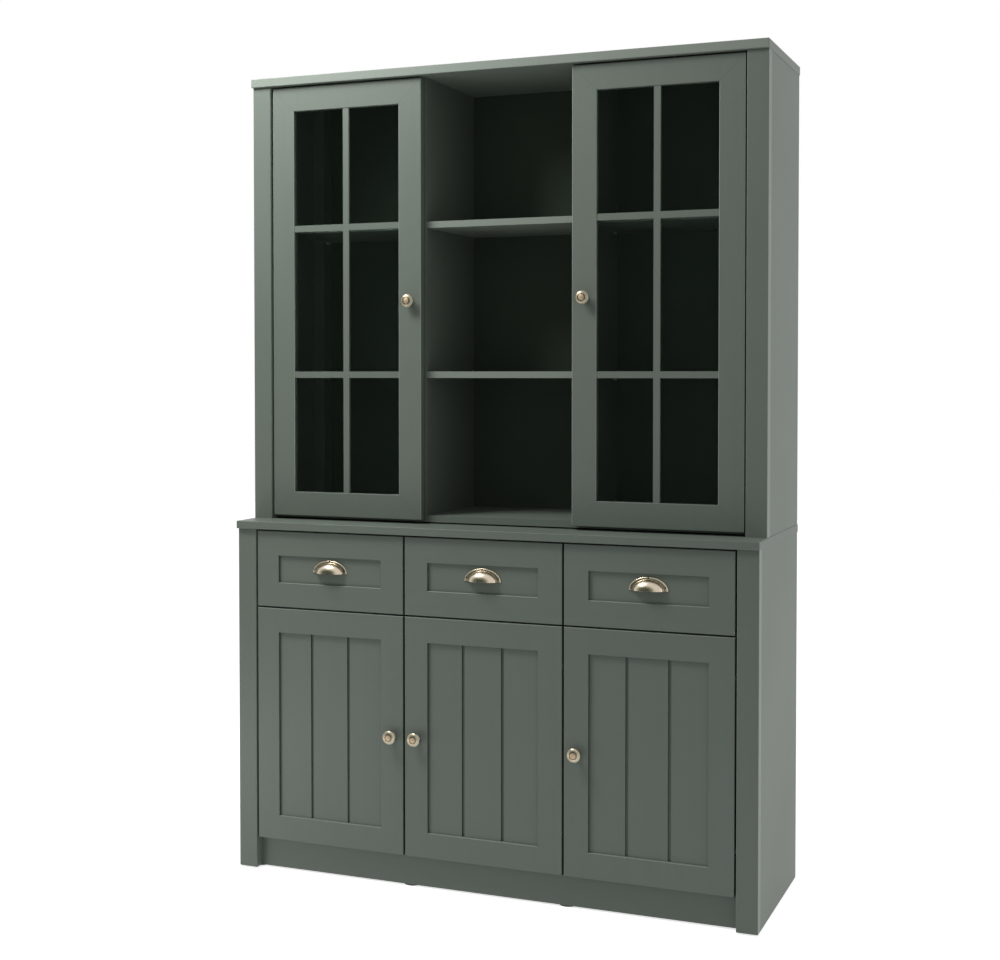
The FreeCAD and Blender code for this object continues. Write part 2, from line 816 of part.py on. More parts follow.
def base_doors():
    """Three framed doors: the left one hinged on its left edge, the others on their right edges."""
    doors = {
        "base_left_door": ("-front_pitch", -1, "-post_inner"),
        "base_middle_door": ("0", 1, "bay_half"),
        "base_right_door": ("front_pitch", 1, "post_inner"),
    }
    heights = ("base_door_bottom + hinge_from_end", "base_door_top - hinge_from_end")
    for name, (centre, side, wall) in doors.items():
        left, right = around(centre, "front_width")
        panel = front_panel(f"{name}_board", left, "base_door_bottom", "base_door_height", grooved=True)
        edge, free_edge = (right, left) if side > 0 else (left, right)
        bored, cups = hinged(name, panel, edge, side, "base_door_face", wall, heights)
        nodes[f"{name}_panel"] = bored
        nodes[f"{name}_hinge_cups"] = cups
        knob_x = from_edge(free_edge, -side, "frame_width / 2")
        middle = "(base_door_bottom + base_door_top) / 2"
        nodes[f"{name}_knob"] = knob(f"{name}_turned_knob", knob_x, "base_door_face", f"{middle} - knob_drop")


def drawers():
    for name, centre in (("left", "-front_pitch"), ("middle", "0"), ("right", "front_pitch")):
        drawer(f"{name}_drawer", centre)


def drawer(name, centre):
    """A framed front with a cup pull, a box behind it, and slide bars that ride on angle runners."""
    left = f"{centre} - front_width / 2"
    nodes[f"{name}_front"] = front_panel(
        f"{name}_face", left, "drawer_bottom", "drawer_front_height", grooved=False
    )
    nodes[f"{name}_pull"] = cup_pull(f"{name}_cup_pull", centre)
    box_y = ("base_door_back", "base_door_back + box_depth")
    box_z = ("box_bottom", "box_bottom + box_height")
    inner = around(centre, "2 * box_half - 2 * box_board")
    back_y = f"{box_y[1]} - box_board"
    floor_z = f"{box_z[0]} + box_bottom_rise"
    pieces = [
        board(f"{name}_box_back", inner, (back_y, box_y[1]), box_z),
        board(f"{name}_box_floor", inner, (box_y[0], back_y), (floor_z, f"{floor_z} + box_bottom_thickness")),
    ]
    slides = []
    slide_y = ("base_carcass_front", "base_carcass_front + slide_length")
    slide_z = ("slide_bottom", "slide_bottom + slide_height")
    for side, word in ((-1, "left"), (1, "right")):
        wall = f"{centre} + {side} * bay_half"
        skin = f"{centre} + {side} * box_half"
        pieces.append(board(f"{name}_box_{word}", ordered(side, skin, "-box_board"), box_y, box_z))
        slides.append(board(f"{name}_slide_{word}", ordered(side, skin, "slide_width"), slide_y, slide_z))
        runner_y = ("base_carcass_front + runner_front_clearance", "back_front")
        web = board(
            f"{name}_runner_web_{word}",
            ordered(side, wall, "-runner_gauge"),
            runner_y,
            ("runner_bottom", "runner_bottom + runner_height"),
        )
        lip = board(
            f"{name}_runner_lip_{word}",
            ordered(side, wall, "-runner_lip"),
            runner_y,
            ("runner_bottom", "runner_bottom + runner_gauge"),
        )
        runners.append(fused(f"{name}_runner_{word}", [web, lip]))
    nodes[f"{name}_box"] = group(f"{name}_box_boards", pieces)
    nodes[f"{name}_slides"] = group(f"{name}_slide_pair", slides)


def ordered(side, start, outward):
    """The span from a face outwards, or inwards where the width starts with a minus, lowest first."""
    away = not outward.startswith("-")
    end = f"{start} + {side} * ({outward})"
    return (start, end) if (side > 0) == away else (end, start)


def frame_member(label, length):
    """A mitred door member along X, with its inner edge rebated at the back for the glass."""
    body = doc.addObject("PartDesign::Body", label)
    mitred = [("0", "0"), (length, "0"), (f"{length} - frame_width", "frame_width"), ("frame_width", "frame_width")]
    padded(body, label + "_stock", [mitred], "front_thickness")
    eased(body, label + "_rounding", lambda edge: in_front(edge) and edge.BoundBox.ZLength < ON_PLANE)
    strip = rectangle(("0", length), ("frame_width - rebate_width", "frame_width"))
    pocketed(body, label + "_rebate", [strip], "rebate_depth", "front_thickness - rebate_depth")
    return body


def glazed_door(name, side):
    """A framed glass door with glazing bars. Side is +1 for the right-hand door."""
    x = mirrored(side, "glass_door_near", "glass_door_far")
    z = ("glass_door_bottom", "glass_door_top")
    members = door_frame(name, x, z)
    edge, free_edge = (x[1], x[0]) if side > 0 else (x[0], x[1])
    wall = f"{side} * post_inner"
    heights = (f"{z[0]} + hinge_from_end", "glass_door_middle", f"{z[1]} - hinge_from_end")
    hinge_member = "right" if side > 0 else "left"
    bored, cups = hinged(name, members[hinge_member], edge, side, "hutch_door_face", wall, heights)
    members[hinge_member] = bored
    nodes[f"{name}_frame"] = group(f"{name}_frame_members", list(members.values()))
    nodes[f"{name}_hinge_cups"] = cups
    glazing(name, x, z)
    knob_x = from_edge(free_edge, -side, "frame_width / 2")
    nodes[f"{name}_knob"] = knob(f"{name}_turned_knob", knob_x, "hutch_door_face", "glass_door_middle - knob_drop")


def door_frame(name, x, z):
    corners = {
        "bottom": ("glass_door_width", 0, x[0], z[0]),
        "right": ("glass_door_height", -90, x[1], z[0]),
        "top": ("glass_door_width", 180, x[1], z[1]),
        "left": ("glass_door_height", 90, x[0], z[1]),
    }
    members = {}
    for word, (length, degrees, corner_x, corner_z) in corners.items():
        member = frame_member(f"{name}_{word}_member", length)
        turn(member, (0, 1, 0), degrees)
        place(member, corner_x, "hutch_door_face", corner_z)
        members[word] = member
    return members


def glazing(name, x, z):
    """Glass in the rebate, bars in front of it and beads behind it."""
    glass_front = "hutch_door_face + front_thickness - rebate_depth"
    glass_back = f"{glass_front} + glass_thickness"
    sight_x = (f"{x[0]} + frame_width", f"{x[1]} - frame_width")
    sight_z = (f"{z[0]} + frame_width", f"{z[1]} - frame_width")
    hidden = "frame_width - rebate_width"
    rebate_x = (f"{x[0]} + {hidden}", f"{x[1]} - ({hidden})")
    rebate_z = (f"{z[0]} + {hidden}", f"{z[1]} - ({hidden})")
    nodes[f"{name}_glass"] = board(
        f"{name}_pane",
        (f"{rebate_x[0]} + glass_edge_clearance", f"{rebate_x[1]} - glass_edge_clearance"),
        (glass_front, glass_back),
        (f"{rebate_z[0]} + glass_edge_clearance", f"{rebate_z[1]} - glass_edge_clearance"),
    )
    bar_y = ("hutch_door_face + bar_setback", glass_front)
    centre = around(f"({x[0]} + {x[1]}) / 2", "bar_width")
    bars = [board(f"{name}_upright_bar", centre, bar_y, sight_z)]
    for level in ("lower_shelf_rise", "upper_shelf_rise"):
        bar_z = around(f"base_top + {level}", "bar_width")
        bars.append(board(f"{name}_{level}_bar_left", (sight_x[0], centre[0]), bar_y, bar_z))
        bars.append(board(f"{name}_{level}_bar_right", (centre[1], sight_x[1]), bar_y, bar_z))
    nodes[f"{name}_glazing_bars"] = group(f"{name}_bar_set", bars)
    bead_y = (glass_back, "hutch_door_back")
    beads = [
        board(f"{name}_bead_bottom", rebate_x, bead_y, (rebate_z[0], sight_z[0])),
        board(f"{name}_bead_top", rebate_x, bead_y, (sight_z[1], rebate_z[1])),
        board(f"{name}_bead_left", (rebate_x[0], sight_x[0]), bead_y, sight_z),
        board(f"{name}_bead_right", (sight_x[1], rebate_x[1]), bead_y, sight_z),
    ]
    nodes[f"{name}_glass_beads"] = group(f"{name}_bead_set", beads)


def check_document():
    """Stops before anything is written if an object failed or a sub-part has no sound shape."""
    failed = [item.Name for item in doc.Objects if {"Invalid", "Error"} & set(item.State)]
    if failed:
        raise RuntimeError(f"failed objects: {failed}")
    unsound = [name for name, item in nodes.items() if item.Shape.isNull() or not item.Shape.isValid()]
    if unsound:
        raise RuntimeError(f"unsound shapes: {unsound}")


def write_parts():
    os.makedirs("parts", exist_ok=True)
    for name, item in nodes.items():
        item.Label = name
        item.Shape.exportStep(f"parts/{item.Label}.step")


# How near to a plane an edge has to lie to count as in it
ON_PLANE = 0.001

# Sub-parts by node name, and the pieces that several sections add to
nodes = {}
supports = []
arms = []
runners = []

fill_sheet()
base_cabinet()
base_fittings()
packing_battens()
upper_cabinet()
back_brackets()
base_doors()
drawers()
glazed_door("hutch_left_door", -1)
glazed_door("hutch_right_door", 1)
nodes["shelf_supports"] = group("support_set", supports)
nodes["hinge_arms"] = group("arm_set", arms)
nodes["drawer_runners"] = group("runner_set", runners)
doc.recompute()
check_document()
write_parts()
print(len(nodes), "sub-parts written")
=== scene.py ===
import math

import bmesh
import bpy
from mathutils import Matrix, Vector


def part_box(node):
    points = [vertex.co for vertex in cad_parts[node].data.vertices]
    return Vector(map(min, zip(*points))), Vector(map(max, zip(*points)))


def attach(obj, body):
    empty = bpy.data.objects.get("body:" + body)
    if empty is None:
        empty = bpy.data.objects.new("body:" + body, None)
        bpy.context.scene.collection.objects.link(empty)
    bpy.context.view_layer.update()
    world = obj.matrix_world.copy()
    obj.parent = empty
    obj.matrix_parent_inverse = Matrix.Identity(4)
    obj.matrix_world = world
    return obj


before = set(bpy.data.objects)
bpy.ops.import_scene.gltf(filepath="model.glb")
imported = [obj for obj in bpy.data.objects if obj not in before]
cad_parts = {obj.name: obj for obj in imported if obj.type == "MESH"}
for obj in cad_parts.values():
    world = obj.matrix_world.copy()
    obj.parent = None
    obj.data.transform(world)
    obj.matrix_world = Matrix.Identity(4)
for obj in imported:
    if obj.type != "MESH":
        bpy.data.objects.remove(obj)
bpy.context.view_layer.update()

MM = 0.001
TOWARD_FRONT = Vector((0.0, -1.0, 0.0))
TOWARD_BACK = Vector((0.0, 1.0, 0.0))

# The photograph's frame and the camera that took it
IMAGE_WIDTH = 1000
IMAGE_HEIGHT = 960
FOCAL_LENGTH_PIXELS = 1540.6
EYE_LEVEL_PIXEL = 413.1
CAMERA_PLACE = Vector((1.3120, -3.3528, 1.1772))
CAMERA_TURN_DEGREES = 21.848
CAMERA_DIP_DEGREES = 1.463
SENSOR_WIDTH = 36.0

# How bright the white room is as a light, and how much of the floor's white doesn't come from the lamps
ROOM_LIGHT = 0.42
FLOOR_WHITE = 0.72
# The corner behind the photographer: its direction, how near to it the dark starts and is full, and how
# white and of which colour it looks in a reflection
DARK_CORNER = Vector((-0.37, -0.93, 0.0))
DARK_CORNER_STARTS = 0.62
DARK_CORNER_FULL = 0.92
DARK_CORNER_WHITE = 0.06
DARK_CORNER_COLOUR = (0.70, 1.0, 0.72)
FLOOR_FRONT = -2.4
FLOOR_REACH = 9.0

# Each lamp's place, the point it looks at, its width and height, and its watts
LAMPS = {
    "top_left_softbox": ((-1.0, -0.95, 2.6), (-0.2, 0.0, 1.3), (0.7, 0.7), 37),
    "low_left_softbox": ((-1.05, -0.85, 0.12), (0.0, -0.1, 0.1), (0.5, 0.2), 1.4),
    "right_softbox": ((3.4, 0.5, 1.0), (0.6, 0.1, 0.8), (2.0, 2.4), 34),
}

# How closely the paint's faint streaks lie along each axis, per metre
UPRIGHT_GRAIN = (70.0, 70.0, 2.0)
LEVEL_GRAIN = (2.0, 70.0, 70.0)

# How far the paint's tone drifts up and down, as a share of it
PAINT_DRIFT = 0.05
# How far a face has to turn to an axis to count as facing it, from not at all to fully, for the light and
# shade painted by which way a face looks
FACING = (0.35, 0.65)
# The same for an eased edge, which starts where a front face ends and stops where a side face starts, for
# its painted highlight
EDGE_STARTS = (0.2, 0.4)
EDGE_STOPS = (0.9, 0.98)
# How far from a mitre its dark line is full, and where it ends
MITRE_LINE = (0.4 * MM, 1.1 * MM)

# Colours as they look in plain light, but for the three lighter and darker copies of the sage below, which
# hold painted light or shade
WHITE = (1.0, 1.0, 1.0)
BLACK = (0.0, 0.0, 0.0)
SAGE = (0.127, 0.151, 0.127)
# The plain sage made darker: painted shade inside the cabinet
SAGE_INSIDE_SHADED = (0.042, 0.056, 0.041)
# The plain sage made lighter: painted light on the middle shelves
SAGE_SHELF_LIT = (0.180, 0.208, 0.178)
# The plain sage made lighter: painted light on the upper top board
SAGE_TOP_BOARD_LIT = (0.195, 0.225, 0.193)
BOX_FOIL = (0.34, 0.36, 0.33)
BRASS = (0.62, 0.53, 0.41)
KNOB_BRASS = (0.41, 0.37, 0.28)
WARM_BRASS = (0.47, 0.37, 0.26)
BRASS_PATINA = (0.11, 0.07, 0.035)
DARK_BRONZE = (0.06, 0.045, 0.03)
CLEAR_RUBBER = (0.72, 0.73, 0.70)
STEEL = (0.55, 0.55, 0.53)
DARK_PLASTIC = (0.02, 0.02, 0.02)
GREY_PLASTIC = (0.20, 0.21, 0.20)
GLASS_TINT = (0.93, 0.97, 0.95)
PALE_FLOOR = (0.86, 0.86, 0.86)

# How wide the eased edges are, and in how many steps they turn
BOARD_EASING = 0.6 * MM
BAR_EASING = 0.5 * MM
EASING_STEPS = 2

# How many sides stand in for a circle
ROUND_STEPS = 20
NAIL_STEPS = 12
BEAD_STEPS = 40
SMOOTH_UP_TO_DEGREES = 40

# Turned forms in millimetres, as pairs of a radius and a height. The bead's heights are from the top of
# the knob's dome.
KNOB_BEAD = (
    (8.5, -2.2),
    (8.6, -1.45),
    (9.1, -1.05),
    (10.2, -1.15),
    (11.6, -1.75),
    (12.8, -2.55),
    (13.3, -2.85),
    (13.2, -3.4),
)
DOOR_STOP = ((4.0, 0.0), (4.0, 0.6), (3.3, 1.5), (1.8, 2.0), (0.5, 2.1))
NAIL_HEAD = ((2.4, 0.0), (2.4, 0.3), (1.8, 0.7), (0.6, 0.85))

# A knob's zones as shares of its radius: the dome ends and the hollow starts, and the hollow ends
DOME_END = (0.36, 0.48)
HOLLOW_END = (0.55, 0.60)

# A slotted screw head: its size, and its form as shares of its radius and height
SCREW_RADIUS = 1.7 * MM
SCREW_HEIGHT = 0.9 * MM
SLOT_FLOOR = ((0.97, 0.0), (0.97, 0.35))
HALF_HEAD = ((1.0, 0.0), (1.0, 0.6), (0.9, 0.9), (0.65, 1.0))
HALF_SLOT = 0.16
HALF_HEAD_STEPS = 8
# Where a pull's screws sit, across and up from the middle of its lower edge in millimetres, and the angle
# of each slot. The plate they sit on is as thick as PULL_PLATE.
PULL_SCREWS = ((0.0, 27.0, 0.4), (-38.4, 8.0, 1.3), (38.4, 8.0, 2.2))
PULL_PLATE = 2.6

# How far the stops lie from a door's free edge and from its top and bottom
STOP_FROM_SIDE = 12 * MM
STOP_FROM_END = 20 * MM

# How far the nails lie from the edge and from each other
NAIL_FROM_EDGE = 7.5 * MM
NAIL_PITCH = 0.15


class Value:
    """A shader socket that takes part in plain arithmetic: each operation adds a Math node."""

    def __init__(self, finish, socket):
        self.finish = finish
        self.socket = socket

    def maths(self, operation, first, second):
        return self.finish.node("ShaderNodeMath", {"operation": operation}, {0: first, 1: second})

    def __add__(self, other):
        return self.maths("ADD", self, other)

    def __radd__(self, other):
        return self.maths("ADD", other, self)

    def __sub__(self, other):
        return self.maths("SUBTRACT", self, other)

    def __rsub__(self, other):
        return self.maths("SUBTRACT", other, self)

    def __mul__(self, other):
        return self.maths("MULTIPLY", self, other)

    def __rmul__(self, other):
        return self.maths("MULTIPLY", other, self)

    def absolute(self):
        return self.maths("ABSOLUTE", self, 0.0)


class Finish:
    """One procedural surface: its material, its nodes and the shader at the end of them."""

    def __init__(self, name):
        self.material = bpy.data.materials.new(name)
        self.material.use_nodes = True
        self.tree = self.material.node_tree
        self.shader = self.tree.nodes["Principled BSDF"]

    def node(self, kind, settings=None, sockets=None, output=0):
        """Adds a node, sets it up, fills its sockets with values or links and gives one of its outputs."""
        made = self.tree.nodes.new(kind)
        for name, setting in (settings or {}).items():
            setattr(made, name, setting)
        for name, value in (sockets or {}).items():
            self.feed(made.inputs[name], value)
        return Value(self, made.outputs[output])

    def feed(self, socket, value):
        if isinstance(value, Value):
            self.tree.links.new(value.socket, socket)
        elif isinstance(value, tuple) and len(value) == 3 and socket.type == "RGBA":
            socket.default_value = (*value, 1.0)
        else:
            socket.default_value = value

    def set(self, **sockets):
        """Fills the shader's own sockets. Underscores in a name stand for spaces."""
        for name, value in sockets.items():
            self.feed(self.shader.inputs[name.replace("_", " ")], value)

    def place(self):
        return self.node("ShaderNodeTexCoord", output="Object")

    def along(self, vector, axis):
        return self.node("ShaderNodeSeparateXYZ", {}, {0: vector}, axis)

    def stretched(self, scale):
        """Object coordinates, scaled apart along each axis."""
        sockets = {0: self.place(), 1: scale}
        return self.node("ShaderNodeVectorMath", {"operation": "MULTIPLY"}, sockets, "Vector")

    def noise(self, scale, detail, rough=0.5, vector=None):
        sockets = {"Vector": vector or self.place(), "Scale": scale, "Detail": detail, "Roughness": rough}
        return self.node("ShaderNodeTexNoise", {}, sockets, "Fac")

    def mix(self, factor, first, second):
        """A colour between two others."""
        sockets = {"Factor": factor, 6: first, 7: second}
        return self.node("ShaderNodeMix", {"data_type": "RGBA"}, sockets, 2)

    def ramp(self, value, start, end, low=0.0, high=1.0):
        """A smooth step from low to high while the value goes from start to end."""
        sockets = {"Value": value, "From Min": start, "From Max": end, "To Min": low, "To Max": high}
        return self.node("ShaderNodeMapRange", {"interpolation_type": "SMOOTHSTEP"}, sockets)

    def bump(self, height, depth, strength):
        sockets = {"Height": height, "Distance": depth, "Strength": strength}
        return self.node("ShaderNodeBump", {}, sockets, "Normal")

    def mitre_line(self, box):
        """1 on the diagonal joints at the corners of a frame that lies in the XZ plane."""
        insets = []
        for axis, index in (("X", 0), ("Z", 2)):
            place = self.along(self.place(), axis)
            insets.append(place.maths("MINIMUM", place - box[0][index], box[1][index] - place))
        return 1.0 - self.ramp((insets[0] - insets[1]).absolute(), *MITRE_LINE)

    def drifting(self, clouds, colour):
        """A paint's colour with its slow drift."""
        return self.mix(clouds, scaled(colour, 1 - PAINT_DRIFT), scaled(colour, 1 + PAINT_DRIFT))


def scaled(colour, factor):
    return tuple(channel * factor for channel in colour)


def painted_board(
    name, colour, roughness=0.42, gloss=0.25, grain=UPRIGHT_GRAIN,
    ends=1.0, ledge_light=1.0, edge_highlight=1.0, mitres=None,
):
    """Satin lacquer on smooth board: a faint cloudiness and grain, sprayed-paint texture and uneven sheen.

    The last three factors before mitres paint light and shade by which way a face looks: sideways faces
    lighter or darker, upward ledges lighter, and eased upright edges lighter as a painted highlight.
    Mitres is the box of a frame with mitred corners.
    """
    finish = Finish(name)
    clouds = finish.noise(scale=3.2, detail=3.0)
    mottle = finish.noise(scale=55.0, detail=2.0)
    streaks = finish.noise(scale=1.0, detail=3.0, rough=0.6, vector=finish.stretched(grain))
    tone = finish.drifting(clouds, colour)
    tone = finish.mix(mottle * 0.25, tone, scaled(colour, 1.10))
    tone = finish.mix(finish.ramp(streaks, 0.35, 0.75) * 0.2, tone, scaled(colour, 0.90))
    normal = finish.node("ShaderNodeTexCoord", output="Normal")
    across = finish.along(normal, "X").absolute()
    sideways = finish.ramp(across, *FACING)
    upward = finish.ramp(finish.along(normal, "Z"), *FACING)
    eased = finish.ramp(across, *EDGE_STARTS) - finish.ramp(across, *EDGE_STOPS)
    # Painted light and shade by which way a face looks: side faces lighter or darker, upward ledges
    # lighter, eased upright edges with a painted highlight
    for share, shade in ((sideways, ends), (upward, ledge_light), (eased, edge_highlight)):
        if shade != 1.0:
            tone = finish.mix(share, tone, finish.drifting(clouds, scaled(colour, shade)))
    if mitres:
        tone = finish.mix(finish.mitre_line(mitres) * 0.35, tone, scaled(colour, 0.45))
    spray = finish.noise(scale=900.0, detail=1.0)
    ripple = finish.noise(scale=210.0, detail=1.0)
    finish.set(
        Base_Color=tone,
        Roughness=roughness - 0.05 + 0.10 * clouds + 0.04 * ripple,
        Specular_IOR_Level=gloss,
        Normal=finish.bump(spray * 0.4 + ripple * 0.6, depth=0.18 * MM, strength=0.35),
    )
    return finish.material


def antique_brass(name, polished=BRASS):
    """Brass with brown patina left in its hollows, a little of it all over, and fine turning marks."""
    finish = Finish(name)
    patches = finish.noise(scale=160.0, detail=3.0, rough=0.6)
    marks = finish.noise(scale=1400.0, detail=2.0)
    sockets = {"Distance": 11 * MM}
    open_to_wear = finish.node("ShaderNodeAmbientOcclusion", {"samples": 8}, sockets, "AO")
    hollows = 1.0 - finish.ramp(open_to_wear, 0.35, 0.85)
    stains = finish.ramp(patches, 0.5, 0.75) * 0.25
    metal = finish.mix(stains, polished, BRASS_PATINA)
    finish.set(
        Base_Color=finish.mix(hollows, metal, BRASS_PATINA),
        Metallic=1.0,
        Roughness=0.20 + 0.08 * patches + 0.05 * marks,
        Normal=finish.bump(marks, depth=0.04 * MM, strength=0.3),
    )
    return finish.material


def turned_brass(name, box):
    """A turned knob's brass: duller, with a warm, matt dome and patina left in the hollow round it."""
    finish = Finish(name)
    middle = Vector(((box[0][0] + box[1][0]) / 2, 0.0, (box[0][2] + box[1][2]) / 2))
    radius = (box[1][0] - box[0][0]) / 2
    sockets = {0: finish.stretched((1.0, 0.0, 1.0)), 1: middle}
    outward = finish.node("ShaderNodeVectorMath", {"operation": "DISTANCE"}, sockets, "Value")
    round_the_dome = finish.ramp(outward, *scaled(DOME_END, radius))
    dome = 1.0 - round_the_dome
    hollow = round_the_dome - finish.ramp(outward, *scaled(HOLLOW_END, radius))
    patches = finish.noise(scale=160.0, detail=3.0, rough=0.6)
    marks = finish.noise(scale=1400.0, detail=2.0)
    stains = finish.ramp(patches, 0.45, 0.75) * 0.35
    metal = finish.mix(stains, finish.mix(dome, KNOB_BRASS, WARM_BRASS), BRASS_PATINA)
    finish.set(
        Base_Color=finish.mix(hollow * 0.9, metal, BRASS_PATINA),
        Metallic=1.0,
        Roughness=0.31 + 0.22 * dome + 0.08 * patches + 0.05 * marks,
        Normal=finish.bump(marks, depth=0.06 * MM, strength=0.4),
    )
    return finish.material


def plated_steel(name):
    """Steel with a fine grain and a slight haze."""
    finish = Finish(name)
    grain = finish.noise(scale=700.0, detail=2.0)
    haze = finish.noise(scale=40.0, detail=3.0)
    finish.set(
        Base_Color=finish.mix(haze, scaled(STEEL, 0.85), scaled(STEEL, 1.1)),
        Metallic=1.0,
        Roughness=0.28 + 0.14 * haze + 0.06 * grain,
        Normal=finish.bump(grain, depth=0.03 * MM, strength=0.3),
    )
    return finish.material


def moulded_plastic(name, colour):
    """Dull plastic with a fine grain."""
    finish = Finish(name)
    grain = finish.noise(scale=1100.0, detail=2.0)
    clouds = finish.noise(scale=60.0, detail=2.0)
    finish.set(
        Base_Color=finish.mix(clouds, scaled(colour, 0.85), scaled(colour, 1.2)),
        Roughness=0.5 + 0.15 * grain,
        Normal=finish.bump(grain, depth=0.06 * MM, strength=0.5),
    )
    return finish.material


def clear_glass(name):
    """Float glass with a trace of haze where it was wiped."""
    finish = Finish(name)
    smears = finish.noise(scale=9.0, detail=4.0, rough=0.6)
    finish.set(
        Base_Color=GLASS_TINT,
        Transmission_Weight=1.0,
        IOR=1.45,
        Roughness=0.012 * smears,
    )
    return finish.material


def white_when_seen(finish):
    """1 for rays that show the backdrop, in a reflection and through glass too, and 0 for its light."""
    path = "ShaderNodeLightPath"
    seen = finish.node(path, output="Is Camera Ray") + finish.node(path, output="Is Glossy Ray")
    seen = seen + finish.node(path, output="Is Transmission Ray")
    lighting = finish.node("ShaderNodeClamp", {}, {"Value": finish.node(path, output="Diffuse Depth")})
    return finish.node("ShaderNodeClamp", {}, {"Value": seen - 3.0 * lighting})


def floor_finish(name):
    """A pale floor that reaches white in the open and keeps the cabinet's soft shadow."""
    finish = Finish(name)
    drift = finish.noise(scale=0.7, detail=2.0)
    finish.set(
        Base_Color=finish.mix(drift, scaled(PALE_FLOOR, 0.995), scaled(PALE_FLOOR, 1.005)),
        Roughness=0.9,
        Specular_IOR_Level=0.0,
        Emission_Color=finish.mix(white_when_seen(finish), BLACK, scaled(WHITE, FLOOR_WHITE)),
        Emission_Strength=1.0,
    )
    return finish.material


def dress(nodes, material):
    for name in nodes:
        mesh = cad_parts[name].data
        mesh.materials.clear()
        mesh.materials.append(material)


def nodes_ending(*endings):
    return [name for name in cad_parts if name.endswith(endings)]


def soften(names, width):
    """Eases the sharp edges of straight-sided pieces."""
    for name in names:
        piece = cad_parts[name]
        flatten = piece.modifiers.new("merge flat faces", "DECIMATE")
        flatten.decimate_type = "DISSOLVE"
        flatten.angle_limit = math.radians(0.5)
        bevel = piece.modifiers.new("eased edges", "BEVEL")
        bevel.width = width
        bevel.segments = EASING_STEPS
        bevel.limit_method = "ANGLE"
        bevel.angle_limit = math.radians(50)


def studio_light():
    """A softbox close to the top left corner, a weak one below it and a large one on the right.

    The white room does the rest.
    """
    for name, (place, target, size, watts) in LAMPS.items():
        lamp = bpy.data.lights.new(name, "AREA")
        lamp.shape = "RECTANGLE"
        lamp.size, lamp.size_y = size
        lamp.energy = watts
        holder = bpy.data.objects.new(name, lamp)
        holder.location = place
        holder.rotation_euler = (Vector(target) - Vector(place)).to_track_quat("-Z", "Y").to_euler()
        holder.visible_camera = False
        bpy.context.scene.collection.objects.link(holder)


class Room(Finish):
    """The white room round the cabinet."""

    def __init__(self, name):
        self.world = bpy.data.worlds.new(name)
        self.world.use_nodes = True
        self.tree = self.world.node_tree
        self.shader = self.tree.nodes["Background"]


def white_world():
    """White to the eye and in reflections, but for the corner behind the photographer, and a dim light."""
    room = Room("white_room")
    sockets = {0: room.node("ShaderNodeTexCoord", output="Generated"), 1: DARK_CORNER}
    nearness = room.node("ShaderNodeVectorMath", {"operation": "DOT_PRODUCT"}, sockets, "Value")
    mirrored = room.ramp(nearness, DARK_CORNER_STARTS, DARK_CORNER_FULL, 1.0, DARK_CORNER_WHITE)
    shown = mirrored.maths("MAXIMUM", mirrored, room.node("ShaderNodeLightPath", output="Is Camera Ray"))
    seen = white_when_seen(room)
    room.set(
        Color=room.mix(seen * (1.0 - shown), WHITE, DARK_CORNER_COLOUR),
        Strength=ROOM_LIGHT + seen * (shown - ROOM_LIGHT),
    )
    bpy.context.scene.world = room.world


def pale_floor():
    mesh = bpy.data.meshes.new("floor")
    corners = [
        (-FLOOR_REACH, FLOOR_FRONT, 0.0),
        (FLOOR_REACH, FLOOR_FRONT, 0.0),
        (FLOOR_REACH, FLOOR_REACH, 0.0),
        (-FLOOR_REACH, FLOOR_REACH, 0.0),
    ]
    mesh.from_pydata(corners, [], [(0, 1, 2, 3)])
    mesh.materials.append(floor_finish("pale_floor"))
    floor = bpy.data.objects.new("floor", mesh)
    bpy.context.scene.collection.objects.link(floor)


def photograph_camera():
    lens = bpy.data.cameras.new("camera")
    lens.sensor_fit = "HORIZONTAL"
    lens.sensor_width = SENSOR_WIDTH
    lens.lens = FOCAL_LENGTH_PIXELS * SENSOR_WIDTH / IMAGE_WIDTH
    lens.shift_y = (EYE_LEVEL_PIXEL - IMAGE_HEIGHT / 2) / IMAGE_WIDTH
    holder = bpy.data.objects.new("camera", lens)
    holder.location = CAMERA_PLACE
    holder.rotation_euler = (
        math.radians(90 - CAMERA_DIP_DEGREES),
        0.0,
        math.radians(CAMERA_TURN_DEGREES),
    )
    bpy.context.scene.collection.objects.link(holder)
    bpy.context.scene.camera = holder


def ring(shape, centre, out, radius, height, angles):
    """Points at one height above a centre, round an axis that points out."""
    side = out.orthogonal().normalized()
    up = out.cross(side)
    middle = centre + out * height
    return [shape.verts.new(middle + radius * (math.cos(a) * side + math.sin(a) * up)) for a in angles]


def join(shape, rings):
    """Joins rings of points one above the other."""
    for lower, upper in zip(rings, rings[1:]):
        for i in range(len(lower)):
            shape.faces.new((lower[i - 1], lower[i], upper[i], upper[i - 1]))


def skin(shape, rings):
    """Joins rings of points and closes the last one."""
    join(shape, rings)
    shape.faces.new(rings[-1])


def turned_rings(shape, centre, out, profile, steps):
    """Rings for a turned form, from pairs of a radius and a height."""
    angles = [math.tau * step / steps for step in range(steps)]
    return [ring(shape, centre, out, radius, height, angles) for radius, height in profile]


def turned(shape, centre, out, profile, steps):
    """A turned form that is closed at the end of its profile."""
    skin(shape, turned_rings(shape, centre, out, profile, steps))


def turned_hoop(shape, centre, out, profile, steps):
    """A turned form with a hole through it. Its profile runs back to where it starts."""
    rings = turned_rings(shape, centre, out, profile, steps)
    join(shape, rings + rings[:1])


def sized(profile, radius, height):
    """A profile made larger or smaller."""
    return [(wide * radius, high * height) for wide, high in profile]


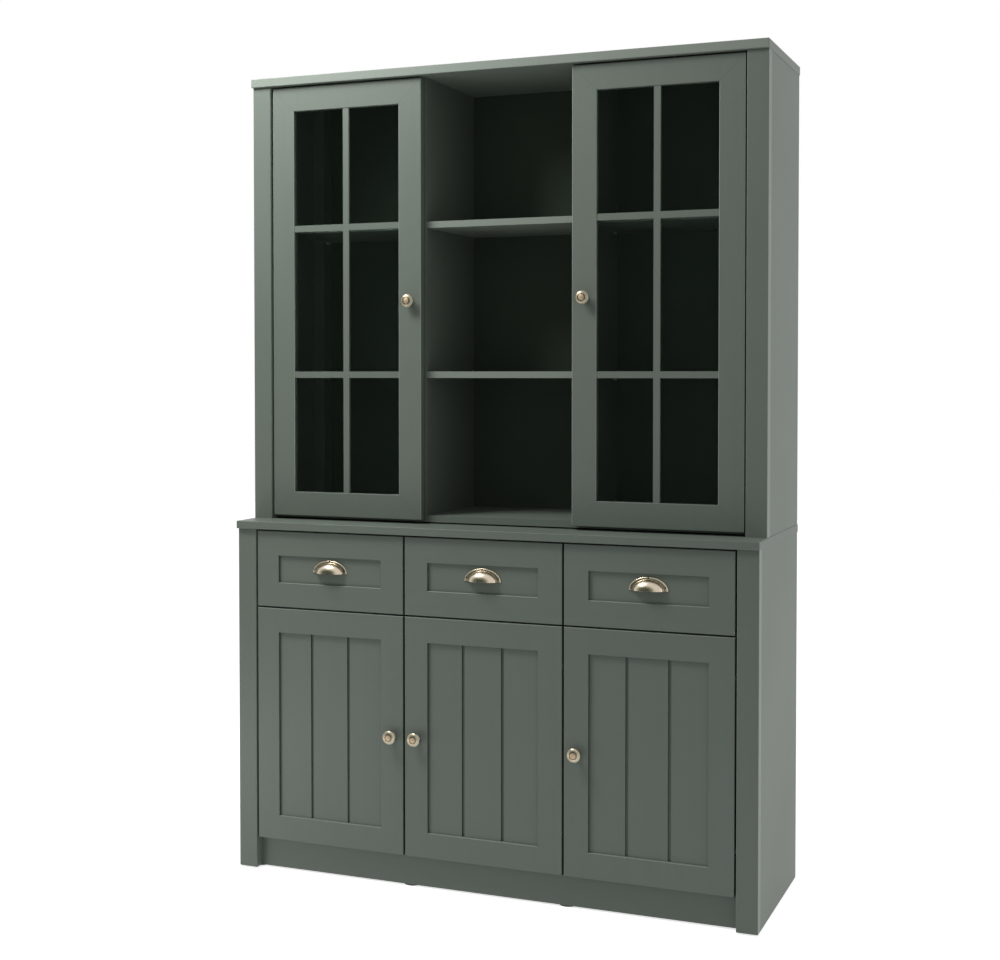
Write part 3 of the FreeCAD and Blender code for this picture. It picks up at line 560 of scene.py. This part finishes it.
def slotted_head(shape, centre, out, turn):
    """A screw head: two halves with the driver slot between them, on a low seat."""
    turned(shape, centre, out, sized(SLOT_FLOOR, SCREW_RADIUS, SCREW_HEIGHT), ROUND_STEPS)
    for half in (0.0, math.pi):
        rings = []
        for wide, high in HALF_HEAD:
            slot = math.asin(HALF_SLOT / wide)
            step = (math.pi - 2 * slot) / HALF_HEAD_STEPS
            angles = [turn + half + slot + step * k for k in range(HALF_HEAD_STEPS + 1)]
            rings.append(ring(shape, centre, out, wide * SCREW_RADIUS, high * SCREW_HEIGHT, angles))
        skin(shape, rings)


def added(name, shape, material, body):
    """Makes a shape into a piece that moves with a body."""
    mesh = bpy.data.meshes.new(name)
    bmesh.ops.recalc_face_normals(shape, faces=shape.faces)
    shape.to_mesh(mesh)
    shape.free()
    mesh.shade_smooth()
    mesh.set_sharp_from_angle(angle=math.radians(SMOOTH_UP_TO_DEGREES))
    mesh.materials.append(material)
    piece = bpy.data.objects.new(name, mesh)
    bpy.context.scene.collection.objects.link(piece)
    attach(piece, body)


def knob_beads():
    """A raised bead lies between the rim and the dome of each knob."""
    bead = sized(KNOB_BEAD, MM, MM)
    for name in nodes_ending("_knob"):
        low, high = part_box(name)
        top = Vector(((low[0] + high[0]) / 2, low[1], (low[2] + high[2]) / 2))
        brass = turned_brass(name + "_brass", (low, high))
        dress([name], brass)
        shape = bmesh.new()
        turned_hoop(shape, top, TOWARD_FRONT, bead, BEAD_STEPS)
        added(name + "_bead", shape, brass, name.removesuffix("_knob"))


def pull_screws():
    """Three slotted screws hold the plate of each pull."""
    bronze = antique_brass("dark_bronze", DARK_BRONZE)
    for drawer in ("left_drawer", "middle_drawer", "right_drawer"):
        low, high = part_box(f"{drawer}_pull")
        seat = Vector(((low[0] + high[0]) / 2, high[1], low[2]))
        shape = bmesh.new()
        for across, up, turn in PULL_SCREWS:
            slotted_head(shape, seat + Vector((across, -PULL_PLATE, up)) * MM, TOWARD_FRONT, turn)
        added(f"{drawer}_pull_screws", shape, bronze, drawer)


def door_bumpers():
    """Two soft stops inside the free edge of each door."""
    rubber = moulded_plastic("clear_rubber", CLEAR_RUBBER)
    stop = sized(DOOR_STOP, MM, MM)
    for door, leaf, opens_right in (
        ("base_left_door", "panel", True),
        ("base_middle_door", "panel", False),
        ("base_right_door", "panel", False),
        ("hutch_left_door", "frame", True),
        ("hutch_right_door", "frame", False),
    ):
        low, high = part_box(f"{door}_{leaf}")
        x = high[0] - STOP_FROM_SIDE if opens_right else low[0] + STOP_FROM_SIDE
        shape = bmesh.new()
        for z in (low[2] + STOP_FROM_END, high[2] - STOP_FROM_END):
            turned(shape, Vector((x, high[1], z)), TOWARD_BACK, stop, ROUND_STEPS)
        added(f"{door}_bumpers", shape, rubber, door)


def spread(start, end):
    """Even places for nails from start to end."""
    count = math.ceil((end - start) / NAIL_PITCH)
    return [start + (end - start) * step / count for step in range(count + 1)]


def back_panel_nails(steel):
    """Nails along the edges of both back panels and into the dividers."""
    head = sized(NAIL_HEAD, MM, MM)
    for part in ("base", "hutch"):
        low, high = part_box(f"{part}_back_panel")
        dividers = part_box(f"{part}_dividers")
        columns = [
            low[0] + NAIL_FROM_EDGE,
            dividers[0][0] + NAIL_FROM_EDGE,
            dividers[1][0] - NAIL_FROM_EDGE,
            high[0] - NAIL_FROM_EDGE,
        ]
        lowest, highest = low[2] + NAIL_FROM_EDGE, high[2] - NAIL_FROM_EDGE
        shape = bmesh.new()
        for x in columns:
            for z in spread(lowest, highest):
                turned(shape, Vector((x, high[1], z)), TOWARD_BACK, head, NAIL_STEPS)
        for z in (lowest, highest):
            for first, last in zip(columns, columns[1:]):
                for x in spread(first, last)[1:-1]:
                    turned(shape, Vector((x, high[1], z)), TOWARD_BACK, head, NAIL_STEPS)
        added(f"{part}_back_nails", shape, steel, "cabinet")


def dress_cabinet():
    """Gives every node its finish. A later line goes over an earlier one."""
    sage = painted_board("sage_lacquer", SAGE)
    level_sage = painted_board("level_sage", SAGE, grain=LEVEL_GRAIN)
    # Drawer fronts and door panels: painted shade darkens their side edges, as in the gaps between them,
    # and painted light brightens their upward ledges
    drawer_sage = painted_board("drawer_sage", SAGE, grain=LEVEL_GRAIN, ends=0.55, ledge_light=1.7)
    door_sage = painted_board("door_sage", SAGE, ends=0.55, ledge_light=1.7)
    # The upper top board carries painted light all over; its ends are made darker again, back near the
    # plain sage
    top_board_sage = painted_board("top_board_sage", SAGE_TOP_BOARD_LIT, grain=LEVEL_GRAIN, ends=0.66)
    # The worktop's end faces carry painted shade, darker than its top and front
    worktop_sage = painted_board("worktop_sage", SAGE, grain=LEVEL_GRAIN, ends=0.8)
    side_sage = painted_board("side_sage", SAGE, gloss=0.14)
    # The posts' side faces carry painted light, lighter than their fronts
    post_sage = painted_board("post_sage", SAGE, ends=1.4)
    # The middle shelves carry painted light all over, lighter than the plain sage
    lit_shelf_sage = painted_board("lit_shelf_sage", SAGE_SHELF_LIT, grain=LEVEL_GRAIN)
    # The back panels and the base's dividers and rails carry painted shade, darker than the rest
    inside = painted_board("shaded_inside_sage", SAGE_INSIDE_SHADED, roughness=0.6, gloss=0.15)
    steel = plated_steel("plated_steel")
    dress(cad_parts, sage)
    dress(nodes_ending("_shelves", "_bottom_board"), level_sage)
    dress(["plinth_boards"], level_sage)
    dress(nodes_ending("_front"), drawer_sage)
    dress(nodes_ending("_door_panel"), door_sage)
    dress(["hutch_top_board"], top_board_sage)
    dress(["base_top_board"], worktop_sage)
    dress(nodes_ending("_left_side", "_right_side"), side_sage)
    dress(["base_posts", "hutch_posts"], post_sage)
    dress(["middle_shelves"], lit_shelf_sage)
    dress(["hutch_back_panel", "base_back_panel", "base_dividers", "base_rails"], inside)
    # The glazed doors' frames carry a painted highlight along their eased upright edges
    for name in nodes_ending("_frame"):
        dress([name], painted_board(name + "_sage", SAGE, edge_highlight=2.2, mitres=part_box(name)))
    dress(nodes_ending("_pull"), antique_brass("antique_brass"))
    dress(nodes_ending("_hinge_cups", "_slides", "_brackets", "_arms", "_runners"), steel)
    dress(nodes_ending("_glass"), clear_glass("clear_glass"))
    dress(nodes_ending("_box"), painted_board("drawer_foil", BOX_FOIL, roughness=0.5))
    dress(["feet"], moulded_plastic("dark_glides", DARK_PLASTIC))
    dress(["shelf_supports"], moulded_plastic("grey_supports", GREY_PLASTIC))
    soften(["middle_shelves", "side_shelves", "hutch_dividers", "hutch_bottom_board"], BOARD_EASING)
    soften(nodes_ending("_glazing_bars"), BAR_EASING)
    knob_beads()
    pull_screws()
    door_bumpers()
    back_panel_nails(steel)


bpy.context.scene.view_settings.view_transform = "Standard"
dress_cabinet()
studio_light()
white_world()
pale_floor()
photograph_camera()
